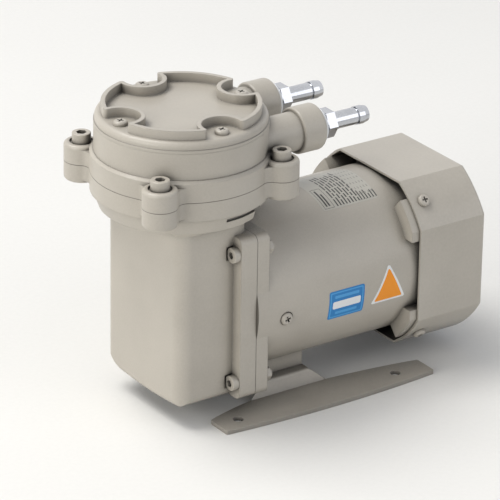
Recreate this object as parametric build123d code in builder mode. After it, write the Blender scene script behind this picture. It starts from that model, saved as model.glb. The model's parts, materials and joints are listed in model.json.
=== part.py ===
from build123d import *
import os
from math import cos, radians, sin, sqrt

# Oil-free diaphragm vacuum pump: a motor with a fan at its back end turns an eccentric, and a
# connecting rod on it works a rubber diaphragm under the cylinder head.
# Millimetres. The origin is at the centre of the four foot holes, on the surface the pump stands on.
# +X runs along the motor from the pump to the fan, +Z is up, and the near side with the inlet is -Y.

os.makedirs("parts", exist_ok=True)

# ---- Layout -------------------------------------------------------------------------------------
axis_height = 58.7          # motor axis above the surface
foot_pitch_x = 102.2        # foot holes, along the motor
foot_pitch_y = 86.0         # foot holes, across the motor
joint_behind_feet = 10.5    # crankcase-to-motor joint, behind the front foot holes
head_before_joint = 19.2    # head axis, ahead of that joint
joint_x = joint_behind_feet - foot_pitch_x / 2
head_x = joint_x - head_before_joint
fit = 0.05                  # radial room of a screw or spigot in its hole
running_gap = 0.2           # radial room between bearing shields and inner rings

# ---- Base plate ---------------------------------------------------------------------------------
foot_hole_r = 2.9
rail_front_end = 12.8       # a rail's front end, beyond its front hole
rail_back_end = 19.8        # a rail's back end, beyond its back hole
rail_inner, rail_outer = 36.2, 51.4     # edges of a rail at its ends, from the middle
rail_bow = 3.3              # how far a rail's outer edge bows out at its middle
rail_corner_r = 1.0
rail_sag = 0.8              # how far a rail's inner edge is hollowed between bridge and end
plate_t = 2.3
pad_drop = 48.5             # motor axis down to the underside of the motor's pad
riser_foot_y = 28.7         # foot of the pressed riser, from the middle
riser_run = 2.6             # how far the riser leans in
bridge_start = 7.1          # front of the bridge at its foot, behind the joint
bridge_length = 48.8        # length of the bridge at its foot
bridge_taper = 9.5          # how much each end draws in at the top
press_r = 2.0               # rounding of the pressed edges
base_screw_from = 0.35      # first screw of the bridge, as a share of its length

# ---- Crankcase ----------------------------------------------------------------------------------
body_front = 43.1           # front face, ahead of the joint
body_half_y = 35.9
body_corner_r = 7.5         # upright front corners
body_bottom = 44.7          # underside at the sides, below the motor axis
body_crown = 2.4            # how much lower the underside is at its middle
near_corner_r = 3.5
far_corner_r = 15.0
nose_r = 3.0                # rounding along the bottom of the front face
case_wall = 4.2
flange_half_y = 43.2
flange_half_z = 45.9
flange_corner_r = 4.0
crank_flange_t = 10.0
chamber_floor = 40.0        # crank chamber, below the axis
chamber_top = 48.0          # crank chamber, above the axis
chamber_r = 8.0

# ---- Neck, ring flange and lugs (heights above the motor axis, radii about the head axis) ----------
neck_foot = 51.5
collar_foot = 54.5
collar_foot_r = 43.0
collar_r = 46.0
ring_foot = 63.0
split = 73.5                # where the head meets the crankcase
ring_r = 47.5
lug_pcd = 105.6
lug_r = 9.3
lug_blend_r = 5.0
lug_edge_r = 2.0
lip_foot = 60.0             # the ring overhangs the motor from here up
slot_foot = 59.3            # shallow slot under the ring
slot_height = 2.1
slot_inner_r = 43.2
slot_from = 59.0            # degrees from +X, each side
slot_to = 92.0
neck_bore_r = 22.0
bowl_r = 33.0
bowl_foot = 50.0
bowl_full = 66.0

# ---- Cylinder head ------------------------------------------------------------------------------
ledge = 85.2
lug_top = ledge - 1.4
barrel_head_r = 45.4
head_top = 99.6
pump_top = 79.5             # ceiling of the pumping chamber
pump_top_r = 24.0
valve_floor = 84.5          # floor of the two valve chambers
valve_chamber_r = 31.0
web_t = 6.0                 # wall between the two valve chambers
port_y = 20.8
port_z = 88.8
port_boss_r = 12.5
port_neck_r = 10.4
port_neck_end = 55.5        # from the head axis
port_end = 69.8
port_edge_r = 2.0
port_step_r = 1.2
port_bore_r = 3.5
port_thread_r = 5.0
port_thread_depth = 10.0

# ---- Head cover ---------------------------------------------------------------------------------
gasket_t = 0.8
gasket_r = 43.4
cover_step = 1.8            # height of the fine line round the cover
cover_step_in = 0.4
cover_floor = 105.6
cover_edge_r = 3.0
rib_top = 110.6
rib_r = 41.6
rib_t = 2.4
rib_corner_r = 1.5
scallop_r = 10.5
cover_screw_pcd = 74.4
cover_pocket = 2.5          # depth of the hollow over each valve chamber

# ---- Screws (head radius, head height, shank radius) -----------------------------------------------
cap_head_r, cap_head_h, cap_shank_r = 5.0, 6.0, 3.0
cap_sink = 1.2
cap_pocket_r = 6.3
cap_length = 18.0
hex_key = 5.0
cover_screw_head_r, cover_screw_head_h, cover_screw_r = 3.75, 2.4, 2.0
cover_screw_length = 16.0
shell_screw_head_r, shell_screw_head_h, shell_screw_r = 3.4, 2.2, 1.75
shell_screw_length = 8.0
shell_screw_x = 110.0       # from the joint
flange_bolt_head_r, flange_bolt_head_h, flange_bolt_r = 4.2, 3.6, 2.1
flange_bolt_y = 38.7
flange_bolt_z = 36.6
flange_nut_af, flange_nut_t = 7.0, 3.2
bolt_pocket_r = 4.8
bolt_pocket_gap = 1.0       # room ahead of a bolt head
bolt_stick_out = 1.5
cross_width, cross_depth = 0.9, 1.1
bolt_edge_r = 0.5
pan_rounding = 0.6          # rounding of a pan head, as a share of its height

# ---- Valves -------------------------------------------------------------------------------------
valve_y = 14.0
valve_disc_r = 8.0
valve_disc_t = 1.0
valve_lift = 0.8
valve_recess_r = 9.2
intake_seat = 82.3
guard_r, guard_t = 5.0, 0.8
guard_stem_r = 2.0
guard_thread_r = 1.5
stem_gap = 0.1
valve_hole_r = 1.3
valve_hole_ring = 4.8
valve_holes = 6

# ---- Diaphragm and rod --------------------------------------------------------------------------
throw = 2.5                 # eccentric's offset: the stroke is twice this
diaphragm_t = 2.5
diaphragm_r = 42.8
seat_r = 43.0
centre_r = 23.0             # flat middle of the diaphragm
support_r, support_t = 22.0, 4.0
support_edge_r = 1.0
clamp_r, clamp_t = 20.0, 3.0
clamp_screw_r, clamp_screw_head_r, clamp_screw_head_h = 3.0, 6.0, 2.0
clamp_screw_length = 20.0
rod_width = 12.0            # along the shaft, the same as the rod bearing
rod_ring_r = 25.0
rod_top_r = 8.0
rod_top_h = 12.0
rod_waist_y = 16.0
rod_waist_x = 9.0

# ---- Bearings (outer radius, bore radius, width) ----------------------------------------------------
main_outer_r, main_bore_r, main_width = 16.0, 6.0, 10.0
rod_bearing_r, rod_bore_r = 21.0, 10.0
race_t = 2.5
shield_t = 0.8

# ---- Motor --------------------------------------------------------------------------------------
motor_flange_t = 7.6
motor_r = 45.0
motor_bore_r = 39.0
motor_end = 116.0           # back end of the housing, from the joint
front_wall = 6.0
front_lip = 2.0
front_hole_r = 9.0
seat_wall = 4.5
block_start = 97.5          # corner blocks that carry the fan cover
block_inner = 20.0          # a block's inner end, above or below the motor axis
block_top_angle = 49.4      # a block's outer end, in degrees from the horizontal
nut_pocket_r, nut_pocket_depth = 5.2, 9.0
pad_half_y = 20.0
pad_end = 46.0
stator_start, stator_length, stator_bore_r = 34.0, 50.0, 22.3
winding_overhang, winding_outer_r, winding_inner_r = 12.0, 37.0, 25.0
winding_edge_r = 3.0
air_gap = 0.4
rotor_ring_t, rotor_ring_r = 4.0, 20.0
shaft_r = 8.0
crank_end_r = 5.0
shaft_front, shaft_back = 33.0, 140.0
shaft_shoulder = 22.0
back_shoulder = 4.0         # shaft shoulder to rear bearing
shaft_edge_r = 0.6
side_screw_x, side_screw_z, side_face_y = 18.0, -4.7, 44.0
side_screw_head_r, side_screw_head_h, side_screw_r, side_screw_length = 3.5, 2.2, 1.75, 6.0
side_screw_turn = 20.0      # turn of the recess, in degrees
seat_room = 0.4             # room round a screw head in its seat
lead_x, lead_z, lead_boss_r, lead_face_y = 72.0, -20.0, 8.0, 46.0
grommet_r, grommet_lip, grommet_bore_r, grommet_hole_r = 6.5, 2.5, 2.6, 4.5

# ---- End bracket, fan and fan cover ---------------------------------------------------------------
bracket_t, bracket_r, bracket_spigot = 4.0, 44.5, 8.0
bracket_screw_ring = 42.0
bracket_screw_head_r, bracket_screw_head_h, bracket_screw_r, bracket_screw_length = 2.6, 1.6, 1.4, 9.0
washer_t = 0.6
fan_start, fan_width, fan_r, fan_hub_r, fan_blades, blade_t, fan_plate_t = 124.0, 13.5, 38.0, 10.0, 9, 1.6, 1.8
fan_plate_r = 24.0
clip_r, clip_t = 8.0, 0.9
shell_front, shell_length, shell_t = 102.1, 43.1, 1.2
shell_half_z, shell_half_y = 47.5, 47.9
shell_top_fold, shell_side_fold = 27.2, 26.3
fold_share = 0.4            # how far a fold moves in for each millimetre the wall does
shell_crown = 1.7
shell_edge_r = 2.0
shell_gap = 0.25            # between a corner block and the cover
vent_count, vent_width, vent_from, vent_to = 16, 3.6, 15.0, 37.0
eye_r = 5.0                 # round hole in the middle of the vents

# ---- Hose nipples -------------------------------------------------------------------------------
seal_r, seal_t = 9.6, 2.0
nipple_collar_r, nipple_collar_t = 7.0, 2.0
nipple_hex_af, nipple_hex_t = 14.0, 5.5
nipple_shank_r = 4.6
nipple_length = 30.0        # beyond its sealing washer
barb_r, barb_length, barb_land, barb_tip_r = 5.0, 6.4, 3.6, 4.4
barb_groove, barb_groove_r = 0.8, 4.1
nipple_bore_r = 2.8

# ---- Eccentric ----------------------------------------------------------------------------------
weight_r, weight_t, weight_gap = 27.0, 6.0, 2.0
weight_half_angle = 75.0
boss_r = 11.0
set_screw_r, set_screw_length = 2.0, 5.0

shaft_axis = Axis((joint_x, 0, axis_height), (1, 0, 0))
head_axis = Axis((head_x, 0, axis_height), (0, 0, 1))
along_shaft = Plane((joint_x, 0, axis_height), x_dir=(1, 0, 0), z_dir=(0, -1, 0))
along_head = Plane((head_x, 0, axis_height), x_dir=(1, 0, 0), z_dir=(0, -1, 0))
quarter_turns = (45, 135, 225, 315)


def across(x):
    """Plane square to the shaft, x behind the joint: its own x is +Y and its own y is +Z."""
    return Plane((joint_x + x, 0, axis_height), x_dir=(0, 1, 0), z_dir=(1, 0, 0))


def level(z):
    """Flat plane on the head axis, z above the motor axis."""
    return Plane((head_x, 0, axis_height + z))


def turn(outline, plane, axis, mode=Mode.ADD):
    """Revolves a closed outline of straight runs about an axis that lies in its plane."""
    with BuildSketch(plane) as profile:
        with BuildLine():
            Polyline(*outline, close=True)
        make_face()
    revolve(profile.sketch, axis=axis, mode=mode)


def on_shaft(x_from, x_to, r, r_in=0.0, mode=Mode.ADD):
    """Cylinder or ring on the shaft axis."""
    turn(((x_from, r_in), (x_from, r), (x_to, r), (x_to, r_in)), along_shaft, shaft_axis, mode)


def on_head(z_from, z_to, r, r_in=0.0, mode=Mode.ADD):
    """Cylinder or ring on the head axis."""
    turn(((r_in, z_from), (r, z_from), (r, z_to), (r_in, z_to)), along_head, head_axis, mode)


def save(piece, name):
    piece.part.label = name
    export_step(piece.part, f"parts/{name}.step")


def pan_screw(head_r, head_h, r, length):
    """Cross-recess pan-head screw: it stands on z = 0, with its shank down -Z."""
    with BuildPart() as screw:
        with Locations((0, 0, -length)):
            Cylinder(r, length, align=(Align.CENTER, Align.CENTER, Align.MIN))
        Cylinder(head_r, head_h, align=(Align.CENTER, Align.CENTER, Align.MIN))
        fillet(screw.edges().group_by(Axis.Z)[-1], head_h * pan_rounding)
        with BuildSketch(Plane.XY.offset(head_h)):
            Rectangle(head_r, cross_width)
            Rectangle(cross_width, head_r)
        extrude(amount=-cross_depth, mode=Mode.SUBTRACT)
    return screw.part


def lugs(z, r=lug_r):
    """Sketch of the ring with its four lugs, and hollow corners rounded between them."""
    with BuildSketch(level(z)) as outline:
        Circle(ring_r)
        with PolarLocations(lug_pcd / 2, 4, start_angle=45):
            Circle(r)
        offset(amount=lug_blend_r, kind=Kind.ARC)
        offset(amount=-lug_blend_r, kind=Kind.ARC)
    return outline.sketch


def lug_end(z, height, rounding, at_top):
    """Round end of a lug, with its outer edge rounded."""
    with BuildPart() as end:
        with BuildSketch(level(z)):
            with PolarLocations(lug_pcd / 2, 4, start_angle=45):
                Circle(lug_r)
        extrude(amount=height)
        fillet(end.edges().group_by(Axis.Z)[-1 if at_top else 0], rounding)
    return end.part


# ---- Base plate: one pressed sheet, its plan cut out of a hat section -------------------------------
bridge_top = axis_height - pad_drop
bridge_front = joint_x + bridge_start
bridge_back = bridge_front + bridge_length
rail_front = -foot_pitch_x / 2 - rail_front_end
rail_back = foot_pitch_x / 2 + rail_back_end
rail_middle = (rail_front + rail_back) / 2
riser_top_y = riser_foot_y - riser_run
sheet_y = rail_outer + 2 * rail_bow
with BuildPart() as base_plate:
    with BuildSketch(Plane.YZ.offset(rail_front)):
        with BuildLine():
            Polyline(
                (-sheet_y, 0), (-sheet_y, plate_t),
                (-riser_foot_y, plate_t), (-riser_top_y, bridge_top),
                (riser_top_y, bridge_top), (riser_foot_y, plate_t),
                (sheet_y, plate_t), (sheet_y, 0),
                (riser_foot_y - plate_t, 0), (riser_top_y - plate_t, bridge_top - plate_t),
                (plate_t - riser_top_y, bridge_top - plate_t), (plate_t - riser_foot_y, 0),
                close=True,
            )
        make_face()
    extrude(amount=rail_back - rail_front)
    pressed = base_plate.edges().filter_by(Axis.X).filter_by(
        lambda e: abs(abs(e.center().Y) - riser_top_y) < plate_t / 4 and e.center().Z > bridge_top - plate_t / 2
    )
    fillet(pressed, press_r)
    with BuildSketch() as plan:
        with BuildLine():
            Polyline((bridge_front + bridge_taper, 0), (bridge_front + bridge_taper, riser_top_y),
                     (bridge_front, riser_foot_y))
            ThreePointArc((bridge_front, riser_foot_y),
                          ((bridge_front + rail_front) / 2, (riser_foot_y + rail_inner) / 2 - rail_sag),
                          (rail_front, rail_inner))
            Line((rail_front, rail_inner), (rail_front, rail_outer))
            ThreePointArc((rail_front, rail_outer), (rail_middle, rail_outer + rail_bow), (rail_back, rail_outer))
            Line((rail_back, rail_outer), (rail_back, rail_inner))
            ThreePointArc((rail_back, rail_inner),
                          ((bridge_back + rail_back) / 2, (riser_foot_y + rail_inner) / 2 - rail_sag),
                          (bridge_back, riser_foot_y))
            Polyline((bridge_back, riser_foot_y), (bridge_back - bridge_taper, riser_top_y),
                     (bridge_back - bridge_taper, 0))
            Line((bridge_back - bridge_taper, 0), (bridge_front + bridge_taper, 0))
        make_face()
        mirror(about=Plane.XZ)
        with GridLocations(foot_pitch_x, foot_pitch_y, 2, 2):
            Circle(foot_hole_r, mode=Mode.SUBTRACT)
    extrude(amount=bridge_top, mode=Mode.INTERSECT)
    fillet(base_plate.edges().filter_by(Axis.Z).filter_by(
        lambda e: abs(e.center().X - rail_middle) > (rail_back - rail_front) / 2 - fit), rail_corner_r)
    base_screw_xs = (bridge_front + bridge_length * base_screw_from, bridge_back - bridge_length * base_screw_from)
    with Locations(*((x, 0, bridge_top) for x in base_screw_xs)):
        Hole(shell_screw_r + 4 * fit, plate_t)
save(base_plate, "base_plate")

with BuildPart() as base_screws:
    bolt = pan_screw(shell_screw_head_r, shell_screw_head_h, shell_screw_r, shell_screw_length)
    for x in base_screw_xs:
        under = Plane((x, 0, bridge_top - plate_t), x_dir=(1, 0, 0), z_dir=(0, 0, -1))
        add(under.location * bolt)
save(base_screws, "base_screws")

# ---- Crankcase ----------------------------------------------------------------------------------
body_mid = (head_before_joint - body_front / 2)
with BuildPart() as crankcase:
    with BuildSketch(across(0)) as section:
        with BuildLine():
            Polyline((-body_half_y, -body_bottom), (-body_half_y, neck_foot), (body_half_y, neck_foot),
                     (body_half_y, -body_bottom))
            ThreePointArc((body_half_y, -body_bottom), (0, -body_bottom - body_crown),
                          (-body_half_y, -body_bottom))
        make_face()
        fillet(section.vertices().filter_by(lambda v: v.Y < 0 and v.X > 0), far_corner_r)
        fillet(section.vertices().filter_by(lambda v: v.Y < 0 and v.X < -body_half_y / 2), near_corner_r)
    extrude(amount=-body_front)
    nose = crankcase.faces().sort_by(Axis.X)[0].edges().filter_by(
        lambda e: e.center().Z < axis_height - chamber_floor)
    fillet(nose, nose_r)
    with BuildSketch(level(-body_bottom - 2 * body_crown)):
        with Locations((body_mid, 0)):
            RectangleRounded(body_front, 2 * body_half_y, body_corner_r)
    extrude(amount=body_bottom + 2 * body_crown + neck_foot, mode=Mode.INTERSECT)
    with BuildSketch(level(neck_foot)):
        with Locations((body_mid, 0)):
            RectangleRounded(body_front, 2 * body_half_y, body_corner_r)
    with BuildSketch(level(collar_foot)):
        Circle(collar_foot_r)
    loft()
    turn(((0, collar_foot), (collar_foot_r, collar_foot), (collar_r, ring_foot), (0, ring_foot)),
         along_head, head_axis)
    with Locations((joint_x, 0, axis_height + lip_foot)):
        Box(ring_r * 2, ring_r * 2, lip_foot, align=(Align.MIN, Align.CENTER, Align.MAX), mode=Mode.SUBTRACT)
    with BuildSketch(level(slot_foot)):
        for side in (1, -1):
            with BuildLine():
                Polyline(
                    (0, 0), (2 * ring_r * cos(radians(slot_from)), side * 2 * ring_r * sin(radians(slot_from))),
                    (2 * ring_r * cos(radians(slot_to)), side * 2 * ring_r * sin(radians(slot_to))), close=True)
            make_face()
        Circle(slot_inner_r, mode=Mode.SUBTRACT)
    extrude(amount=slot_height, mode=Mode.SUBTRACT)
    on_head(ring_foot, ring_foot + lug_edge_r, ring_r)
    add(lug_end(ring_foot, 2 * lug_edge_r, lug_edge_r, at_top=False))
    extrude(lugs(ring_foot + lug_edge_r), amount=split - ring_foot - lug_edge_r)
    with BuildSketch(across(-crank_flange_t)):
        RectangleRounded(2 * flange_half_y, 2 * flange_half_z, flange_corner_r)
    extrude(amount=crank_flange_t)
    with BuildSketch(across(0)):
        with Locations((0, (chamber_top - chamber_floor) / 2)):
            RectangleRounded(2 * (body_half_y - case_wall), chamber_top + chamber_floor, chamber_r)
    extrude(amount=case_wall - body_front, mode=Mode.SUBTRACT)
    turn(((0, chamber_top - case_wall), (neck_bore_r, chamber_top - case_wall), (neck_bore_r, bowl_foot),
          (bowl_r, bowl_full), (bowl_r, split), (0, split)), along_head, head_axis, Mode.SUBTRACT)
    on_head(split - diaphragm_t, split, seat_r, mode=Mode.SUBTRACT)
    with BuildSketch(level(split)):
        with PolarLocations(lug_pcd / 2, 4, start_angle=45):
            Circle(cap_shank_r + fit)
    extrude(amount=ring_foot - split, mode=Mode.SUBTRACT)
    with BuildSketch(across(-crank_flange_t)):
        with GridLocations(2 * flange_bolt_y, 2 * flange_bolt_z, 2, 2):
            Circle(flange_bolt_r + fit)
    extrude(amount=crank_flange_t, mode=Mode.SUBTRACT)
    with BuildSketch(across(-crank_flange_t)):
        with GridLocations(2 * flange_bolt_y, 2 * flange_bolt_z, 2, 2):
            Circle(bolt_pocket_r)
    extrude(amount=-flange_bolt_head_h - bolt_pocket_gap, mode=Mode.SUBTRACT)
save(crankcase, "crankcase")

with BuildPart() as flange_bolts:
    with BuildSketch(across(-crank_flange_t)):
        with GridLocations(2 * flange_bolt_y, 2 * flange_bolt_z, 2, 2):
            Circle(flange_bolt_head_r)
    extrude(amount=-flange_bolt_head_h)
    fillet(flange_bolts.edges().group_by(Axis.X)[0], bolt_edge_r)
    with BuildSketch(across(-crank_flange_t)):
        with GridLocations(2 * flange_bolt_y, 2 * flange_bolt_z, 2, 2):
            Circle(flange_bolt_r)
    extrude(amount=crank_flange_t + motor_flange_t + flange_nut_t + bolt_stick_out)
    with BuildSketch(across(-crank_flange_t - flange_bolt_head_h)):
        with GridLocations(2 * flange_bolt_y, 2 * flange_bolt_z, 2, 2):
            RegularPolygon(flange_bolt_r, 6)
    extrude(amount=flange_bolt_head_h / 2, mode=Mode.SUBTRACT)
save(flange_bolts, "flange_bolts")

with BuildPart() as flange_nuts:
    with BuildSketch(across(motor_flange_t)):
        with GridLocations(2 * flange_bolt_y, 2 * flange_bolt_z, 2, 2):
            RegularPolygon(flange_nut_af / 2, 6, major_radius=False)
            Circle(flange_bolt_r + fit, mode=Mode.SUBTRACT)
    extrude(amount=flange_nut_t)
save(flange_nuts, "flange_nuts")

# ---- Cylinder head ------------------------------------------------------------------------------
with BuildPart() as cylinder_head:
    extrude(lugs(split), amount=lug_top - split - lug_edge_r)
    add(lug_end(lug_top - 2 * lug_edge_r, 2 * lug_edge_r, lug_edge_r, at_top=True))
    turn(((0, split), (ring_r, split), (ring_r, lug_top), (ring_r - (ledge - lug_top), ledge),
          (barrel_head_r, ledge), (barrel_head_r, head_top), (0, head_top)), along_head, head_axis)
    for side in (-1, 1):
        port = Plane((head_x, side * port_y, axis_height + port_z), x_dir=(0, 1, 0), z_dir=(1, 0, 0))
        with BuildSketch(port):
            Circle(port_neck_r)
        extrude(amount=port_neck_end)
        with BuildSketch(port.offset(port_neck_end)):
            Circle(port_boss_r)
        extrude(amount=port_end - port_neck_end)
    for step_x, rounding in ((port_end, port_edge_r), (port_neck_end, port_step_r)):
        fillet(cylinder_head.edges().filter_by(GeomType.CIRCLE).filter_by(
            lambda e: abs(e.radius - port_boss_r) < fit and abs(e.center().X - head_x - step_x) < fit), rounding)
    for side in (-1, 1):
        port = Plane((head_x, side * port_y, axis_height + port_z), x_dir=(0, 1, 0), z_dir=(1, 0, 0))
        with BuildSketch(port.offset(valve_chamber_r / 2)):
            Circle(port_bore_r)
        extrude(amount=port_end, mode=Mode.SUBTRACT)
        with BuildSketch(port.offset(port_end)):
            Circle(port_thread_r)
        extrude(amount=-port_thread_depth, mode=Mode.SUBTRACT)
    with BuildSketch(level(valve_floor)):
        Circle(valve_chamber_r)
        Rectangle(2 * valve_chamber_r, web_t, mode=Mode.SUBTRACT)
    extrude(amount=head_top - valve_floor, mode=Mode.SUBTRACT)
    on_head(head_top - gasket_t, head_top, gasket_r, mode=Mode.SUBTRACT)
    turn(((0, split), (bowl_r, split), (pump_top_r, pump_top), (0, pump_top)), along_head, head_axis,
         Mode.SUBTRACT)
    with BuildSketch(level(pump_top)):
        with Locations((0, -valve_y)):
            Circle(valve_recess_r)
    extrude(amount=intake_seat - pump_top, mode=Mode.SUBTRACT)
    with BuildSketch(level(pump_top)):
        with Locations((0, valve_y), (0, -valve_y)):
            with PolarLocations(valve_hole_ring, valve_holes):
                Circle(valve_hole_r)
            Circle(guard_thread_r)
    extrude(amount=valve_floor - pump_top, mode=Mode.SUBTRACT)
    with BuildSketch(level(lug_top)):
        with PolarLocations(lug_pcd / 2, 4, start_angle=45):
            Circle(cap_shank_r + 4 * fit)
    extrude(amount=split - lug_top, mode=Mode.SUBTRACT)
    with BuildSketch(level(lug_top)):
        with PolarLocations(lug_pcd / 2, 4, start_angle=45):
            Circle(cap_pocket_r)
    extrude(amount=-cap_sink, mode=Mode.SUBTRACT)
    with BuildSketch(level(head_top)):
        with PolarLocations(cover_screw_pcd / 2, 4):
            Circle(cover_screw_r)
    extrude(amount=cover_floor - head_top - cover_screw_length - 1, mode=Mode.SUBTRACT)
save(cylinder_head, "cylinder_head")

with BuildPart() as head_screws:
    with BuildSketch(level(lug_top - cap_sink)):
        with PolarLocations(lug_pcd / 2, 4, start_angle=45):
            Circle(cap_head_r)
    extrude(amount=cap_head_h)
    fillet(head_screws.edges().group_by(Axis.Z)[-1], bolt_edge_r)
    with BuildSketch(level(lug_top - cap_sink)):
        with PolarLocations(lug_pcd / 2, 4, start_angle=45):
            Circle(cap_shank_r)
    extrude(amount=-cap_length)
    with BuildSketch(level(lug_top - cap_sink + cap_head_h)):
        with PolarLocations(lug_pcd / 2, 4, start_angle=45):
            RegularPolygon(hex_key / 2, 6, major_radius=False)
    extrude(amount=-cap_head_h / 2, mode=Mode.SUBTRACT)
save(head_screws, "head_screws")

with BuildPart() as cover_gasket:
    with BuildSketch(level(head_top - gasket_t)):
        Circle(gasket_r - fit)
        Circle(valve_chamber_r, mode=Mode.SUBTRACT)
        Rectangle(2 * valve_chamber_r + 1, web_t)
        with PolarLocations(cover_screw_pcd / 2, 4):
            Circle(cover_screw_r + fit, mode=Mode.SUBTRACT)
    extrude(amount=gasket_t)
save(cover_gasket, "cover_gasket")

# ---- Head cover: round lid with a cloverleaf rib round its four screws -------------------------------
with BuildSketch(level(cover_floor)) as rib:
    Circle(rib_r)
    with PolarLocations(cover_screw_pcd / 2, 4):
        Circle(scallop_r, mode=Mode.SUBTRACT)
    fillet(rib.vertices(), rib_corner_r)
with BuildSketch(level(cover_floor)) as rib_inside:
    Circle(rib_r - rib_t)
    with PolarLocations(cover_screw_pcd / 2, 4):
        Circle(scallop_r + rib_t, mode=Mode.SUBTRACT)
with BuildPart() as head_cover:
    on_head(head_top, head_top + cover_step, barrel_head_r)
    on_head(head_top + cover_step, cover_floor, barrel_head_r - cover_step_in)
    fillet(head_cover.edges().group_by(Axis.Z)[-1], cover_edge_r)
    extrude(rib.sketch - rib_inside.sketch, amount=rib_top - cover_floor)
    with BuildSketch(level(head_top)):
        Circle(valve_chamber_r)
        Rectangle(2 * valve_chamber_r, web_t, mode=Mode.SUBTRACT)
    extrude(amount=cover_pocket, mode=Mode.SUBTRACT)
    with BuildSketch(level(head_top)):
        with PolarLocations(cover_screw_pcd / 2, 4):
            Circle(cover_screw_r + fit)
    extrude(amount=cover_floor - head_top, mode=Mode.SUBTRACT)
save(head_cover, "head_cover")

with BuildPart() as cover_screws:
    lid_screw = pan_screw(cover_screw_head_r, cover_screw_head_h, cover_screw_r, cover_screw_length)
    for turn_angle in (0, 90, 180, 270):
        place = level(cover_floor).location * Rot(0, 0, turn_angle) * Pos(cover_screw_pcd / 2, 0, 0)
        add(place * Rot(0, 0, 30) * lid_screw)
save(cover_screws, "cover_screws")

# ---- Hose nipples and their seals -----------------------------------------------------------------
def nipple_outline(x):
    """Turned outline of a nipple whose collar stands on the seal at x, as (x, radius) corners."""
    start = x - seal_t - port_thread_depth + 1
    tip = x + nipple_length
    barb = tip - barb_length
    return (
        (start, 0), (start, port_thread_r - fit), (x, port_thread_r - fit), (x, nipple_collar_r),
        (x + nipple_collar_t, nipple_collar_r), (x + nipple_collar_t, nipple_shank_r),
        (barb - barb_groove, nipple_shank_r), (barb - barb_groove, barb_groove_r), (barb, barb_groove_r),
        (barb, barb_r), (barb + barb_land, barb_r), (tip, barb_tip_r), (tip, 0),
    )


def make_nipple(side):
    """Hose nipple screwed into the port on one side: turned body, hexagon, then its bore."""
    port = Plane((head_x, side * port_y, axis_height + port_z), x_dir=(0, 1, 0), z_dir=(1, 0, 0))
    profile = Plane(port.origin, x_dir=(1, 0, 0), z_dir=(0, -1, 0))
    seat = port_end + seal_t
    with BuildPart() as nipple:
        turn(nipple_outline(seat), profile, Axis(port.origin, (1, 0, 0)))
        with BuildSketch(port.offset(seat + nipple_collar_t)):
            RegularPolygon(nipple_hex_af / 2, 6, major_radius=False)
        extrude(amount=nipple_hex_t)
        with BuildSketch(port):
            Circle(nipple_bore_r)
        extrude(amount=seat + nipple_length, mode=Mode.SUBTRACT)
    return nipple


inlet_nipple = make_nipple(-1)
outlet_nipple = make_nipple(1)
save(inlet_nipple, "inlet_nipple")
save(outlet_nipple, "outlet_nipple")

with BuildPart() as port_seals:
    with BuildSketch(Plane((head_x + port_end, 0, axis_height + port_z), x_dir=(0, 1, 0), z_dir=(1, 0, 0))):
        with Locations((-port_y, 0), (port_y, 0)):
            Circle(seal_r)
            Circle(port_thread_r + fit, mode=Mode.SUBTRACT)
    extrude(amount=seal_t)
save(port_seals, "port_seals")

# ---- Valves: each is a rubber disc that lifts off a ring of holes, up to the head of its guard ----------
def make_valve(y, z):
    with BuildPart() as disc:
        with BuildSketch(level(z)):
            with Locations((0, y)):
                Circle(valve_disc_r)
                Circle(guard_stem_r + stem_gap, mode=Mode.SUBTRACT)
        extrude(amount=valve_disc_t)
    return disc


intake_valve = make_valve(-valve_y, intake_seat - valve_disc_t - valve_lift)
exhaust_valve = make_valve(valve_y, valve_floor)
save(intake_valve, "intake_valve")
save(exhaust_valve, "exhaust_valve")

stem_length = valve_disc_t + valve_lift


def make_guard(y, seat, upwards, thread_length):
    """Shouldered screw that a valve disc slides on."""
    way = 1 if upwards else -1
    with BuildPart() as guard:
        for start, end, r in ((-thread_length, 0, guard_thread_r - fit / 2), (0, stem_length, guard_stem_r),
                              (stem_length, stem_length + guard_t, guard_r)):
            with BuildSketch(level(seat + way * start)):
                with Locations((0, y)):
                    Circle(r)
            extrude(amount=way * (end - start))
    return guard


intake_guard = make_guard(-valve_y, intake_seat, False, valve_floor - intake_seat)
exhaust_guard = make_guard(valve_y, valve_floor, True, valve_floor - pump_top - 1)
save(intake_guard, "intake_guard")
save(exhaust_guard, "exhaust_guard")

# ---- Diaphragm, at the bottom of its stroke ---------------------------------------------------------
rim_foot = split - diaphragm_t
centre_foot = rim_foot - throw
with BuildPart() as diaphragm:
    turn(((clamp_screw_r + fit, centre_foot), (centre_r, centre_foot), (bowl_r, rim_foot), (diaphragm_r, rim_foot),
          (diaphragm_r, split), (bowl_r, split), (centre_r, centre_foot + diaphragm_t),
          (clamp_screw_r + fit, centre_foot + diaphragm_t)), along_head, head_axis)
save(diaphragm, "diaphragm")

with BuildPart() as diaphragm_support:
    on_head(centre_foot - support_t, centre_foot, support_r, clamp_screw_r + fit)
    fillet(diaphragm_support.edges().filter_by(GeomType.CIRCLE).sort_by(SortBy.RADIUS)[-2:], support_edge_r)
save(diaphragm_support, "diaphragm_support")

clamp_foot = centre_foot + diaphragm_t
with BuildPart() as diaphragm_clamp:
    turn(((clamp_screw_r + fit, clamp_foot), (clamp_r, clamp_foot), (clamp_r - 1, clamp_foot + clamp_t),
          (clamp_screw_head_r + fit, clamp_foot + clamp_t),
          (clamp_screw_head_r + fit, clamp_foot + clamp_t - clamp_screw_head_h),
          (clamp_screw_r + fit, clamp_foot + clamp_t - clamp_screw_head_h)), along_head, head_axis)
save(diaphragm_clamp, "diaphragm_clamp")

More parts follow.
